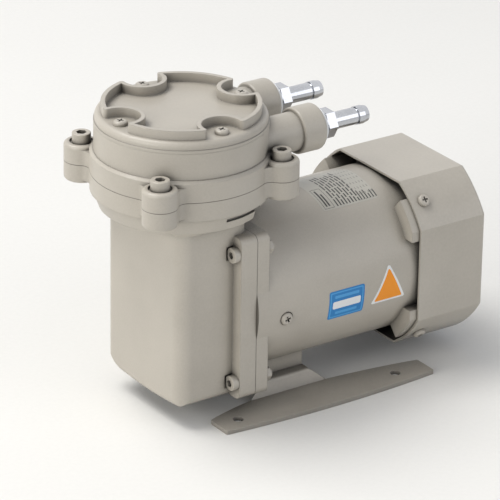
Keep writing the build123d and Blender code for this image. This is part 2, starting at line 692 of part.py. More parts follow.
clamp_screw_seat = clamp_foot + clamp_t - clamp_screw_head_h
with BuildPart() as diaphragm_screw:
    on_head(clamp_screw_seat, clamp_foot + clamp_t, clamp_screw_head_r)
    with BuildSketch(level(clamp_foot + clamp_t)):
        RegularPolygon(hex_key / 2 - fit, 6, major_radius=False)
    extrude(amount=-clamp_screw_head_h / 2, mode=Mode.SUBTRACT)
    on_head(clamp_screw_seat - clamp_screw_length, clamp_screw_seat, clamp_screw_r)
save(diaphragm_screw, "diaphragm_screw")

# ---- Connecting rod ---------------------------------------------------------------------------------
rod_x = -head_before_joint
rod_face = rod_x - rod_width / 2
rod_top = centre_foot - support_t
rod_foot = rod_top - rod_top_h
with BuildPart() as connecting_rod:
    with BuildSketch(across(rod_face)):
        with Locations((0, -throw)):
            Circle(rod_ring_r)
    extrude(amount=rod_width)
    with BuildSketch(level(0)):
        Rectangle(rod_waist_x, 2 * rod_waist_y)
    with BuildSketch(level(rod_foot + rod_top_h / 3)):
        Rectangle(rod_waist_x, rod_top_r * 1.5)
    loft()
    for face_side in (-1, 1):
        with BuildSketch(across(rod_x + face_side * rod_waist_x / 2)):
            with BuildLine():
                Polyline((-rod_top_r * 0.8, rod_ring_r), (rod_top_r * 0.8, rod_ring_r),
                         (rod_top_r * 0.4, rod_foot - 2), (-rod_top_r * 0.4, rod_foot - 2), close=True)
            make_face()
        extrude(amount=-face_side * rod_waist_x / 4, mode=Mode.SUBTRACT)
    on_head(rod_foot, rod_top, rod_top_r)
    with BuildSketch(across(rod_face)):
        with Locations((0, -throw)):
            Circle(rod_bearing_r)
    extrude(amount=rod_width, mode=Mode.SUBTRACT)
    on_head(clamp_screw_seat - clamp_screw_length - 1, rod_top, clamp_screw_r + fit, mode=Mode.SUBTRACT)
save(connecting_rod, "connecting_rod")


# ---- Sealed ball bearings: outer race with its two shields, and inner race ------------------------------
def make_races(x, outer_r, bore_r, width, drop):
    """Races of a bearing that starts at x, on the shaft axis lowered by drop."""
    inner_r = bore_r + race_t
    plane = Plane((joint_x, 0, axis_height - drop), x_dir=(1, 0, 0), z_dir=(0, -1, 0))
    axis = Axis((joint_x, 0, axis_height - drop), (1, 0, 0))
    with BuildPart() as outer:
        turn(((x, inner_r + running_gap), (x, outer_r), (x + width, outer_r), (x + width, inner_r + running_gap),
              (x + width - shield_t, inner_r + running_gap), (x + width - shield_t, outer_r - race_t),
              (x + shield_t, outer_r - race_t), (x + shield_t, inner_r + running_gap)), plane, axis)
    with BuildPart() as inner:
        turn(((x, bore_r), (x, inner_r), (x + width, inner_r), (x + width, bore_r)), plane, axis)
    return outer, inner


rear_seat = motor_end - main_width
for name, start, outer_r, bore_r, width, drop in (
    ("front_bearing", front_lip, main_outer_r, main_bore_r, main_width, 0),
    ("rear_bearing", rear_seat, main_outer_r, main_bore_r, main_width, 0),
    ("rod_bearing", rod_face, rod_bearing_r, rod_bore_r, rod_width, throw),
):
    outer_race, inner_race = make_races(start, outer_r, bore_r, width, drop)
    save(outer_race, name + "_outer")
    save(inner_race, name + "_inner")

# ---- Shaft and what turns on it ---------------------------------------------------------------------
with BuildPart() as motor_shaft:
    on_shaft(-shaft_front, 0, crank_end_r)
    on_shaft(0, shaft_shoulder, main_bore_r)
    on_shaft(shaft_shoulder, motor_end - main_width - back_shoulder, shaft_r)
    on_shaft(motor_end - main_width - back_shoulder, shaft_back, main_bore_r)
    fillet(motor_shaft.edges().group_by(Axis.X)[-1], shaft_edge_r)
save(motor_shaft, "motor_shaft")

weight_start = rod_face + rod_width + weight_gap
with BuildPart() as eccentric:
    with BuildSketch(across(rod_face)):
        with Locations((0, -throw)):
            Circle(rod_bore_r)
    extrude(amount=rod_width + 1)
    on_shaft(weight_start - 1, -1, boss_r)
    with BuildSketch(across(weight_start - 1)):
        with BuildLine():
            CenterArc((0, 0), weight_r, 90 - weight_half_angle, 2 * weight_half_angle)
            Line((weight_r * cos(radians(90 - weight_half_angle)), weight_r * sin(radians(90 - weight_half_angle))),
                 (0, 0))
            Line((0, 0), (-weight_r * cos(radians(90 - weight_half_angle)),
                          weight_r * sin(radians(90 - weight_half_angle))))
        make_face()
    extrude(amount=weight_t)
    on_shaft(rod_face, 0, crank_end_r, mode=Mode.SUBTRACT)
    with BuildSketch(Plane((joint_x + weight_start + weight_t / 2, 0, axis_height), z_dir=(0, 0, -1))):
        Circle(set_screw_r + fit)
    extrude(amount=boss_r + throw, mode=Mode.SUBTRACT)
save(eccentric, "eccentric")

with BuildPart() as eccentric_set_screw:
    with BuildSketch(Plane((joint_x + weight_start + weight_t / 2, 0, axis_height - crank_end_r), z_dir=(0, 0, -1))):
        Circle(set_screw_r)
    extrude(amount=set_screw_length)
save(eccentric_set_screw, "eccentric_set_screw")

stator_end = stator_start + stator_length
with BuildPart() as rotor_core:
    on_shaft(stator_start, stator_end, stator_bore_r - air_gap, shaft_r)
    on_shaft(stator_start - rotor_ring_t, stator_start, rotor_ring_r, shaft_r)
    on_shaft(stator_end, stator_end + rotor_ring_t, rotor_ring_r, shaft_r)
save(rotor_core, "rotor_core")

with BuildPart() as stator_core:
    on_shaft(stator_start, stator_end, motor_bore_r, stator_bore_r)
save(stator_core, "stator_core")

with BuildPart() as stator_windings:
    on_shaft(stator_start - winding_overhang, stator_start, winding_outer_r, winding_inner_r)
    on_shaft(stator_end, stator_end + winding_overhang, winding_outer_r, winding_inner_r)
    fillet(stator_windings.edges().filter_by(GeomType.CIRCLE).filter_by(
        lambda e: abs(e.center().X - joint_x - (stator_start + stator_length / 2)) > stator_length / 2 + 1), winding_edge_r)
save(stator_windings, "stator_windings")


# ---- Fan-cover section: an octagon whose four bevels are gently crowned ------------------------------
def shell_section(x, inset, corners_from=0.0):
    """Section of the fan cover at x behind the joint, drawn in by inset, or only its four corners."""
    half_y, half_z = shell_half_y - inset, shell_half_z - inset
    top_fold, side_fold = shell_top_fold - inset * fold_share, shell_side_fold - inset * fold_share
    middle = ((top_fold + half_y) / 2 + shell_crown * sqrt(0.5), (half_z + side_fold) / 2 + shell_crown * sqrt(0.5))
    with BuildSketch(across(x)) as section:
        with BuildLine():
            Line((0, half_z), (top_fold, half_z))
            ThreePointArc((top_fold, half_z), middle, (half_y, side_fold))
            Line((half_y, side_fold), (half_y, 0))
            mirror(about=Plane.XZ)
            mirror(about=Plane.YZ)
        make_face()
        if corners_from:
            Rectangle(4 * half_y, 2 * corners_from, mode=Mode.SUBTRACT)
            reach_y = 2 * half_z * cos(radians(block_top_angle))
            reach_z = 2 * half_z * sin(radians(block_top_angle))
            for way in (1, -1):
                with BuildLine():
                    Polyline((0, 0), (reach_y, way * reach_z), (-reach_y, way * reach_z), close=True)
                make_face(mode=Mode.SUBTRACT)
    return section.sketch


# ---- Motor housing ------------------------------------------------------------------------------
with BuildPart() as motor_housing:
    with BuildSketch(across(0)):
        RectangleRounded(2 * flange_half_y, 2 * flange_half_z, flange_corner_r)
    extrude(amount=motor_flange_t)
    on_shaft(0, motor_end, motor_r)
    with BuildSketch(across(motor_flange_t)):
        with Locations((0, -pad_drop)):
            Rectangle(2 * pad_half_y, pad_drop / 2, align=(Align.CENTER, Align.MIN))
    extrude(amount=pad_end - motor_flange_t)
    corner_blocks = shell_section(block_start, shell_t + shell_gap, block_inner)
    extrude(corner_blocks, amount=motor_end - block_start)
    with BuildSketch(Plane((joint_x + lead_x, 0, axis_height + lead_z), x_dir=(1, 0, 0), z_dir=(0, 1, 0))):
        Circle(lead_boss_r)
    extrude(amount=lead_face_y)
    on_shaft(front_wall, motor_end, motor_bore_r, mode=Mode.SUBTRACT)
    on_shaft(0, front_lip + main_width, main_outer_r + seat_wall)
    on_shaft(front_lip, front_lip + main_width, main_outer_r, mode=Mode.SUBTRACT)
    on_shaft(0, front_lip, front_hole_r, mode=Mode.SUBTRACT)
    with BuildSketch(Plane((joint_x + lead_x, 0, axis_height + lead_z), x_dir=(1, 0, 0), z_dir=(0, 1, 0))):
        Circle(grommet_hole_r)
    extrude(amount=2 * motor_r, mode=Mode.SUBTRACT)
    with BuildSketch(across(0)):
        with GridLocations(2 * flange_bolt_y, 2 * flange_bolt_z, 2, 2):
            Circle(flange_bolt_r + fit)
    extrude(amount=motor_flange_t, mode=Mode.SUBTRACT)
    with BuildSketch(across(motor_flange_t)):
        with GridLocations(2 * flange_bolt_y, 2 * flange_bolt_z, 2, 2):
            Circle(nut_pocket_r)
    extrude(amount=nut_pocket_depth, mode=Mode.SUBTRACT)
    for way in (-1, 1):
        face = Plane((joint_x + side_screw_x, way * side_face_y, axis_height + side_screw_z), x_dir=(1, 0, 0),
                     z_dir=(0, way, 0))
        with BuildSketch(face):
            Circle(side_screw_head_r + seat_room)
        extrude(amount=motor_r, mode=Mode.SUBTRACT)
        with BuildSketch(face):
            Circle(side_screw_r + fit)
        extrude(amount=-side_screw_length, mode=Mode.SUBTRACT)
    for angle in quarter_turns:
        radial = Plane((joint_x + shell_screw_x, 0, axis_height), x_dir=(1, 0, 0),
                       z_dir=(0, cos(radians(angle)), sin(radians(angle))))
        with BuildSketch(radial.offset(motor_bore_r)):
            Circle(shell_screw_r + fit)
        extrude(amount=motor_r, mode=Mode.SUBTRACT)
    with BuildSketch(across(motor_end)):
        with PolarLocations(bracket_screw_ring, 4):
            Circle(bracket_screw_r + fit)
    extrude(amount=bracket_t - bracket_screw_length - 1, mode=Mode.SUBTRACT)
    with BuildSketch(Plane.XY.offset(axis_height - pad_drop)):
        with Locations(*((x, 0) for x in base_screw_xs)):
            Circle(shell_screw_r + fit)
    extrude(amount=shell_screw_length - plate_t + 1, mode=Mode.SUBTRACT)
save(motor_housing, "motor_housing")

with BuildPart() as side_screws:
    bolt = pan_screw(side_screw_head_r, side_screw_head_h, side_screw_r, side_screw_length)
    for way in (-1, 1):
        face = Plane((joint_x + side_screw_x, way * side_face_y, axis_height + side_screw_z), x_dir=(1, 0, 0),
                     z_dir=(0, way, 0))
        add(face.location * Rot(0, 0, side_screw_turn) * bolt)
save(side_screws, "side_screws")

with BuildPart() as lead_grommet:
    turn(((grommet_bore_r, lead_face_y - grommet_lip), (grommet_hole_r - fit, lead_face_y - grommet_lip),
          (grommet_hole_r - fit, lead_face_y), (grommet_r, lead_face_y), (grommet_r - 1, lead_face_y + grommet_lip),
          (grommet_bore_r, lead_face_y + grommet_lip)),
         Plane((joint_x + lead_x, 0, axis_height + lead_z), x_dir=(1, 0, 0), z_dir=(0, 0, 1)),
         Axis((joint_x + lead_x, 0, axis_height + lead_z), (0, 1, 0)))
save(lead_grommet, "lead_grommet")

# ---- End bracket --------------------------------------------------------------------------------
spigot_r = motor_bore_r - fit
with BuildPart() as rear_bracket:
    turn(((motor_end - bracket_spigot, spigot_r - bracket_t), (motor_end - bracket_spigot, spigot_r),
          (motor_end, spigot_r), (motor_end, bracket_r), (motor_end + bracket_t, bracket_r),
          (motor_end + bracket_t, main_bore_r + 1), (motor_end + washer_t, main_bore_r + 1),
          (motor_end + washer_t, main_outer_r), (rear_seat, main_outer_r), (rear_seat, main_outer_r + seat_wall),
          (motor_end, main_outer_r + seat_wall), (motor_end, spigot_r - bracket_t)), along_shaft, shaft_axis)
    with BuildSketch(across(motor_end + bracket_t)):
        with PolarLocations(bracket_screw_ring, 4):
            Circle(bracket_screw_r + fit)
    extrude(amount=-bracket_t, mode=Mode.SUBTRACT)
save(rear_bracket, "rear_bracket")

with BuildPart() as preload_washer:
    on_shaft(motor_end, motor_end + washer_t, main_outer_r - fit, main_outer_r - race_t)
save(preload_washer, "preload_washer")

with BuildPart() as bracket_screws:
    bolt = pan_screw(bracket_screw_head_r, bracket_screw_head_h, bracket_screw_r, bracket_screw_length)
    for angle in (0, 90, 180, 270):
        add(across(motor_end + bracket_t).location * Rot(0, 0, angle) * Pos(bracket_screw_ring, 0, 0) * bolt)
save(bracket_screws, "bracket_screws")

# ---- Fan ------------------------------------------------------------------------------------------
with BuildPart() as cooling_fan:
    on_shaft(fan_start, fan_start + fan_width, fan_hub_r, main_bore_r)
    on_shaft(fan_start, fan_start + fan_plate_t, fan_plate_r, main_bore_r)
    with BuildSketch(across(fan_start)):
        with PolarLocations(0, fan_blades):
            with Locations(((fan_r + fan_hub_r - 1) / 2, 0)):
                Rectangle(fan_r - fan_hub_r + 1, blade_t)
    extrude(amount=fan_width)
save(cooling_fan, "cooling_fan")

with BuildPart() as fan_clip:
    on_shaft(fan_start + fan_width, fan_start + fan_width + clip_t, clip_r, main_bore_r)
save(fan_clip, "fan_clip")

# ---- Fan cover ------------------------------------------------------------------------------------
with BuildPart() as fan_cover:
    extrude(shell_section(shell_front, 0), amount=shell_length)
    fillet(fan_cover.faces().sort_by(Axis.X)[-1].edges(), shell_edge_r)
    extrude(shell_section(shell_front, shell_t), amount=shell_length - shell_t, mode=Mode.SUBTRACT)
    with BuildSketch(across(shell_front + shell_length)):
        with PolarLocations((vent_from + vent_to) / 2, vent_count):
            SlotOverall(vent_to - vent_from, vent_width)
        Circle(eye_r)
    extrude(amount=-2 * shell_t, mode=Mode.SUBTRACT)
    for angle in quarter_turns:
        radial = Plane((joint_x + shell_screw_x, 0, axis_height), x_dir=(1, 0, 0),
                       z_dir=(0, cos(radians(angle)), sin(radians(angle))))
        with BuildSketch(radial.offset(motor_r)):
            Circle(shell_screw_r + 2 * fit)
        extrude(amount=motor_r / 2, mode=Mode.SUBTRACT)
save(fan_cover, "fan_cover")

shell_screw_seat = (shell_top_fold + shell_half_y + shell_half_z + shell_side_fold) / 2 * sqrt(0.5) + shell_crown
with BuildPart() as fan_cover_screws:
    bolt = pan_screw(shell_screw_head_r, shell_screw_head_h, shell_screw_r, shell_screw_length)
    for angle in quarter_turns:
        radial = Plane((joint_x + shell_screw_x, 0, axis_height), x_dir=(1, 0, 0),
                       z_dir=(0, cos(radians(angle)), sin(radians(angle))))
        add(radial.offset(shell_screw_seat + fit).location * bolt)
save(fan_cover_screws, "fan_cover_screws")
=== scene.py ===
# %% [markdown]
# # Looks of a diaphragm vacuum pump
# The solid parts come in already placed, in metres, so this script only dresses them: each piece gets
# the finish that its maker would give it, and the stickers that the solid model leaves out are added.

# %% Load the parts
import json
import bpy
import numpy as np
from mathutils import Matrix, Vector


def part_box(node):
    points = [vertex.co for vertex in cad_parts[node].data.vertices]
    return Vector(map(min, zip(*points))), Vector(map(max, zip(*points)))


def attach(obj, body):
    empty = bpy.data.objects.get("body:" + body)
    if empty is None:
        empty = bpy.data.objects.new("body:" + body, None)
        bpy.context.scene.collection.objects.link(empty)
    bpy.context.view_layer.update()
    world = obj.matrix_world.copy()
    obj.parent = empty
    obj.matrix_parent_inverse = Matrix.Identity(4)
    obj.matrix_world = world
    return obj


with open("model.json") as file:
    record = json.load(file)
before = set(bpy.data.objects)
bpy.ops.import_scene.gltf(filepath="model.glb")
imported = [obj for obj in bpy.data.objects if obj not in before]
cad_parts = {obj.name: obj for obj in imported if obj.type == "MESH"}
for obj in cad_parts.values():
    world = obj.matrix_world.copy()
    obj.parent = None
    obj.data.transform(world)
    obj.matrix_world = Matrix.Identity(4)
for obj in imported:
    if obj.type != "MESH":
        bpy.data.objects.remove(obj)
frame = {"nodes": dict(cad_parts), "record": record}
nodes, record = frame["nodes"], frame["record"]
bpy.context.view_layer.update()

# %% [markdown]
# ## Colours and nodes
# A colour is written as the usual six-figure hex code, and turned once into the linear numbers that
# the renderer works in. One helper adds every shader node: it sets the node's own options, then fills
# each input with a plain value, or with a link from another node, so that a material reads as a list.

# %% Colour and node helpers
def linear(code):
    """The linear colour of a hex code: above a small threshold, ((c + 0.055) / 1.055) to the power 2.4."""
    c = np.array([int(code[i:i + 2], 16) for i in (1, 3, 5)]) / 255
    return (*np.where(c <= 0.04045, c / 12.92, ((c + 0.055) / 1.055) ** 2.4), 1.0)


def add(tree, kind, inputs=None, **options):
    """A new node of that kind. Each input takes a value, or (node, output name) to link from."""
    node = tree.nodes.new("ShaderNode" + kind)
    for name, value in options.items():
        setattr(node, name, value)
    for name, value in (inputs or {}).items():
        if isinstance(value, tuple) and len(value) == 2 and isinstance(value[1], (str, int)):
            tree.links.new(value[0].outputs[value[1]], node.inputs[name])
        else:
            node.inputs[name].default_value = value
    return node


def ramp(tree, factor, stops):
    """A colour ramp on factor. stops is a list of (place from 0 to 1, hex code)."""
    node = add(tree, "ValToRGB", {"Fac": factor})
    line = node.color_ramp.elements
    while len(line) < len(stops):
        line.new(0.5)
    for element, (place, code) in zip(line, stops):
        element.position, element.color = place, linear(code)
    return node


def blank(name):
    """A new material with only a Principled shader on its output: (material, tree, shader)."""
    material = bpy.data.materials.new(name)
    material.use_nodes = True
    tree = material.node_tree
    tree.nodes.clear()
    shader = add(tree, "BsdfPrincipled")
    add(tree, "OutputMaterial", {"Surface": (shader, "BSDF")})
    return material, tree, shader


# %% [markdown]
# ## Grain
# Almost every surface shares one recipe: two sizes of noise measured on the piece itself. The broad
# one drifts the colour and the shine a little, as paint and metal do over a hand's breadth, and the
# fine one is pressed into the surface as a bump. Corners are rounded a little in the shading, because
# paint and tumbling never leave a knife edge.

# %% The shared surface recipe
def surface(name, codes, rough, metal=0.0, broad=28.0, fine=900.0, depth=0.00002, stretch=(1, 1, 1),
            edge=0.0004, coat=0.0, contrast=(0.32, 0.68)):
    """A noise-built finish. codes: dark and light hex codes; rough: (least, most) roughness; broad and
    fine: noise scales per metre; depth: bump height in metres; edge: rounding of corners in shading."""
    material, tree, shader = blank(name)
    place = add(tree, "TexCoord")
    grid = add(tree, "Mapping", {"Vector": (place, "Object"), "Scale": stretch})
    drift = add(tree, "TexNoise", {"Vector": (grid, "Vector"), "Scale": broad, "Detail": 4.0})
    grain = add(tree, "TexNoise", {"Vector": (grid, "Vector"), "Scale": fine, "Detail": 3.0})
    both = add(tree, "Mix", {"Factor": 0.35, "A": (drift, "Fac"), "B": (grain, "Fac")})
    colour = ramp(tree, (both, "Result"), [(contrast[0], codes[0]), (contrast[1], codes[1])])
    shine = add(tree, "MapRange", {"Value": (drift, "Fac"), "From Min": 0.3, "From Max": 0.7,
                                   "To Min": rough[0], "To Max": rough[1]})
    corner = add(tree, "Bevel", {"Radius": edge}, samples=4)
    press = add(tree, "Bump", {"Height": (grain, "Fac"), "Distance": depth, "Normal": (corner, "Normal")})
    for socket, source in (("Base Color", (colour, "Color")), ("Roughness", (shine, "Result")),
                           ("Normal", (press, "Normal"))):
        tree.links.new(source[0].outputs[source[1]], shader.inputs[socket])
    shader.inputs["Metallic"].default_value = metal
    shader.inputs["Coat Weight"].default_value = coat
    return material, tree, shader


def rings(material_tree_shader, axis, centre, pitch, depth):
    """Presses tool marks round an axis into a finish: height = sin(distance from the axis / pitch)."""
    material, tree, shader = material_tree_shader
    press = shader.inputs["Normal"].links[0].from_node
    place = add(tree, "TexCoord")
    moved = add(tree, "VectorMath", {0: (place, "Object"), 1: centre}, operation="SUBTRACT")
    flat = add(tree, "VectorMath", {0: (moved, "Vector"), 1: tuple(1.0 - abs(a) for a in axis)},
               operation="MULTIPLY")
    radius = add(tree, "VectorMath", {0: (flat, "Vector")}, operation="LENGTH")
    turns = add(tree, "Math", {0: (radius, "Value"), 1: 2 * np.pi / pitch}, operation="MULTIPLY")
    wave = add(tree, "Math", {0: (turns, "Value")}, operation="SINE")
    cut = add(tree, "Bump", {"Height": (wave, "Value"), "Distance": depth, "Normal": (press, "Normal")})
    tree.links.new(cut.outputs["Normal"], shader.inputs["Normal"])
    return material


# %% [markdown]
# ## Paint
# The pump is sprayed after it is put together, so castings, sheet and outside screws share one warm
# grey enamel. On the castings it lies over a slightly grainy skin, so the bump is coarser there; the
# pressed sheet shows only the fine orange peel of sprayed paint.

# %% Enamel finishes
ENAMEL = ("#ADA79C", "#B9B3A8")
casting_enamel, casting_tree, casting_shader = surface(
    "casting_enamel", ENAMEL, (0.36, 0.48), fine=1100, depth=0.00004, edge=0.0009, coat=0.12)
sheet_enamel, sheet_tree, sheet_shader = surface(
    "sheet_enamel", ENAMEL, (0.32, 0.42), fine=650, depth=0.000018, edge=0.0003, coat=0.15)
screw_enamel, screw_tree, screw_shader = surface(
    "screw_enamel", ENAMEL, (0.30, 0.40), fine=1500, depth=0.000012, edge=0.00025, coat=0.15)

# %% [markdown]
# ## Painted shade in creases, and the split line
# Shade is painted into the castings and sheet. Tight creases get a light painted shade, set by how much
# of the sky a point can see within a few millimetres. Deep hollows, such as the inside of the fan cover,
# get a nearly black painted shadow, set within a few centimetres. Where the head sits on the crankcase,
# and where the crankcase meets the motor flange, the castings part in a hair line, which paint bridges but
# never quite hides.

# %% Painted shade in creases, and the lines between castings
split_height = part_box("cylinder_head")[0][2]
joint_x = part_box("motor_housing")[0][0]
flange_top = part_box("motor_housing")[1][2]
line_half_width = 0.00012
any_height = 1.0            # metres, far above the pump
above_flange = 0.006


def painted_crease_shade(tree, shader, dark, reach, depth, least, most):
    """Paints shade: mixes the dark hex code into the base colour where a point is shut in, as shadow would
    fall there. depth is the most that is mixed in, reach how far round is looked, in metres, and from least
    to most of open sky the painted shade fades."""
    colour = shader.inputs["Base Color"].links[0]
    open_sky = add(tree, "AmbientOcclusion", {"Distance": reach}, samples=4)
    shut = add(tree, "MapRange", {"Value": (open_sky, "AO"), "From Min": least, "From Max": most,
                                  "To Min": depth, "To Max": 0.0})
    mix = add(tree, "Mix", {"Factor": (shut, "Result"), "A": (colour.from_node, colour.from_socket.name),
                            "B": linear(dark)}, data_type="RGBA")
    tree.links.new(mix.outputs["Result"], shader.inputs["Base Color"])


def split_line(tree, shader, axis, where, half_width, below):
    """Darkens a thin line: full where |axis - where| is under half_width, none beyond twice that, and
    only at heights under below."""
    colour = shader.inputs["Base Color"].links[0]
    place = add(tree, "TexCoord")
    parts = add(tree, "SeparateXYZ", {"Vector": (place, "Object")})
    away = add(tree, "Math", {0: (parts, axis), 1: where}, operation="SUBTRACT")
    size = add(tree, "Math", {0: (away, "Value")}, operation="ABSOLUTE")
    line = add(tree, "MapRange", {"Value": (size, "Value"), "From Min": half_width,
                                  "From Max": 2 * half_width, "To Min": 0.75, "To Max": 0.0})
    low = add(tree, "Math", {0: (parts, "Z"), 1: below}, operation="LESS_THAN")
    kept = add(tree, "Math", {0: (line, "Result"), 1: (low, "Value")}, operation="MULTIPLY")
    mix = add(tree, "Mix", {"Factor": (kept, "Value"), "A": (colour.from_node, colour.from_socket.name),
                            "B": linear("#4A463F")}, data_type="RGBA")
    tree.links.new(mix.outputs["Result"], shader.inputs["Base Color"])


split_line(casting_tree, casting_shader, "Z", split_height, line_half_width, below=any_height)
split_line(casting_tree, casting_shader, "X", joint_x, line_half_width, below=flange_top + above_flange)
# Painted shade on all three enamels: a grey-brown shade in tight creases, and a nearly black painted shadow
# deep in hollows.
for tree, shader in ((casting_tree, casting_shader), (sheet_tree, sheet_shader),
                     (screw_tree, screw_shader)):
    painted_crease_shade(tree, shader, "#4E4A43", 0.005, 0.55, 0.35, 0.95)
    painted_crease_shade(tree, shader, "#151317", 0.035, 0.92, 0.12, 0.42)

# %% [markdown]
# ## Bright metals
# The hose nipples are turned brass with bright nickel: nearly a mirror, with faint tool rings round
# their own axis. Small hidden screws are zinc plated, and the running surfaces of the shaft and
# bearings are ground. Metals keep their colour in the base colour, and get no coat.

# %% Plated and ground metals
nipple_low, nipple_high = (Vector(c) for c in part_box("inlet_nipple"))
bright_nickel = rings(
    surface("bright_nickel", ("#AEB0B5", "#D3D5DA"), (0.08, 0.16), metal=1.0, fine=1800, depth=0.000003,
            edge=0.0001),
    (0, 1, 1), tuple((nipple_low + nipple_high) / 2), 0.0006, 0.000004)
zinc_plate = surface(
    "zinc_plate", ("#A9ABAE", "#D2D4D6"), (0.25, 0.42), metal=1.0, broad=220, fine=2600, depth=0.000006,
    edge=0.00015)[0]
ground_steel = surface(
    "ground_steel", ("#8F9194", "#BCBDC0"), (0.18, 0.34), metal=1.0, fine=1400, depth=0.000005,
    stretch=(0.15, 1, 1), edge=0.00015)[0]
machined_aluminium = surface(
    "machined_aluminium", ("#A7A8AA", "#C9CACB"), (0.28, 0.45), metal=1.0, fine=2000, depth=0.000008,
    stretch=(1, 1, 0.2), edge=0.0002)[0]
machined_iron = surface(
    "machined_iron", ("#4B4B4D", "#6A6A6C"), (0.40, 0.62), metal=1.0, fine=1600, depth=0.00002,
    edge=0.0002)[0]

# %% [markdown]
# ## Motor materials
# The cores are stacks of thin electrical sheet: fine lines cross the shaft direction, half a
# millimetre apart, under a brown varnish. The coil ends are copper wire baked in clear lacquer,
# drawn as round strands that run round the shaft.

# %% Laminations and windings
def banded(name, codes, axis_vector, pitch, depth, rough, metal):
    """A finish with ridges that follow one another along axis_vector: height = |sin(distance / pitch)|."""
    material, tree, shader = surface(name, codes, rough, metal=metal, fine=1500, depth=0.000006,
                                     edge=0.0002)
    press = shader.inputs["Normal"].links[0].from_node
    place = add(tree, "TexCoord")
    along = add(tree, "VectorMath", {0: (place, "Object"), 1: axis_vector}, operation="DOT_PRODUCT")
    turns = add(tree, "Math", {0: (along, "Value"), 1: np.pi / pitch}, operation="MULTIPLY")
    wave = add(tree, "Math", {0: (turns, "Value")}, operation="SINE")
    ridge = add(tree, "Math", {0: (wave, "Value")}, operation="ABSOLUTE")
    cut = add(tree, "Bump", {"Height": (ridge, "Value"), "Distance": depth, "Normal": (press, "Normal")})
    tree.links.new(cut.outputs["Normal"], shader.inputs["Normal"])
    return material


varnished_laminations = banded("varnished_laminations", ("#4A4038", "#75706A"), (1, 0, 0), 0.0005,
                               0.00006, (0.35, 0.55), 0.7)
lacquered_copper = banded("lacquered_copper", ("#7A3B1A", "#B8672F"), (1, 0, 0), 0.0008, 0.0003,
                          (0.18, 0.32), 0.8)

# %% [markdown]
# ## Rubber, fibre and plastic
# The diaphragm, valve discs and lead grommet are moulded black rubber, dull and faintly mottled. The
# washers under the nipples are pale fibre. The fan is moulded black plastic with a fine spark-eroded
# texture, which the mould leaves on it.

# %% Soft and moulded finishes
black_rubber = surface(
    "black_rubber", ("#151515", "#232322"), (0.62, 0.82), fine=1300, depth=0.00003, edge=0.0003)[0]
pale_fibre = surface(
    "pale_fibre", ("#DFE2E3", "#F0F2F2"), (0.55, 0.75), broad=160, fine=2400, depth=0.00003,
    stretch=(1, 1, 4), edge=0.0002)[0]
moulded_plastic = surface(
    "moulded_plastic", ("#17171A", "#222226"), (0.42, 0.58), fine=2200, depth=0.00002, edge=0.0003)[0]

# %% [markdown]
# ## Which finish goes where
# Each part names the material slot it is made of, so one table from slot to finish dresses them all.

# %% Dress the parts
FINISH = {"painted_casting": casting_enamel, "painted_sheet": sheet_enamel, "painted_screw": screw_enamel,
          "zinc_steel": zinc_plate, "nickel_brass": bright_nickel, "fibre_seal": pale_fibre,
          "black_rubber": black_rubber, "bare_aluminium": machined_aluminium,
          "bearing_steel": ground_steel, "grey_iron": machined_iron, "lamination": varnished_laminations,
          "copper_winding": lacquered_copper, "fan_plastic": moulded_plastic}
for part in record["subparts"]:
    mesh = nodes[part["node"]]
    mesh.data.materials.clear()
    mesh.data.materials.append(None)
    mesh.material_slots[0].link = "OBJECT"
    mesh.material_slots[0].material = FINISH[part["material_slot"]]
print("finishes in use:", len({part["material_slot"] for part in record["subparts"]}))

# %% [markdown]
# ## The crankcase's rear wall
# The solid crankcase is open at the back, between the top of the motor flange and the ring above it.
# A cast wall closes it there, with a shelf that runs back under the ring. Both are one closed shell
# of an L-shaped profile, set a twentieth of a millimetre behind the faces around it, so none coincide.

# %% Rear wall
wall_t, shelf_t = 0.0042, 0.002
wall_half_y, shelf_reach = 0.031, 0.0102    # the opening is 0.0292 to each side, and 0.0097 deep
wall_set_back = 0.00005
ring_underside = 0.1187                     # where the ring overhangs the motor
wall_foot = flange_top - 0.0004              # behind the flange's top edge
wall_face = joint_x - wall_set_back
shelf_foot = ring_underside + wall_set_back
wall_profile = [(wall_face - wall_t, wall_foot), (wall_face, wall_foot), (wall_face, shelf_foot),
                (joint_x + shelf_reach, shelf_foot), (joint_x + shelf_reach, shelf_foot + shelf_t),
                (wall_face - wall_t, shelf_foot + shelf_t)]
wall_points = [(x, y, z) for y in (-wall_half_y, wall_half_y) for x, z in wall_profile]
corners = len(wall_profile)
wall_faces = [(i + corners, (i + 1) % corners + corners, (i + 1) % corners, i) for i in range(corners)]
wall_faces += [(0, 1, 2, 5), (2, 3, 4, 5), (11, 8, 7, 6), (11, 10, 9, 8)]   # each end of the L: two quads
wall_mesh = bpy.data.meshes.new("crankcase_rear_wall")
wall_mesh.from_pydata(wall_points, [], wall_faces)
wall_mesh.materials.append(casting_enamel)
rear_wall = bpy.data.objects.new("crankcase_rear_wall", wall_mesh)
bpy.context.scene.collection.objects.link(rear_wall)
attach(rear_wall, "frame")
print("rear wall:", len(wall_mesh.polygons), "faces")

# %% [markdown]
# ## Stickers
# Each sticker is a thin film bent round the motor barrel. A film is a grid of rows round the barrel:
# each row has its own half width, so the same formula gives a rectangle with rounded corners, a
# triangle or a bar. The grid is closed underneath, a hair inside the barrel, so nothing shows through.

# %% Films round the barrel
axis_height = (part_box("stator_core")[0][2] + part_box("stator_core")[1][2]) / 2
barrel_r = 0.045
sink = 0.0001               # how deep the underside of a film lies in the barrel


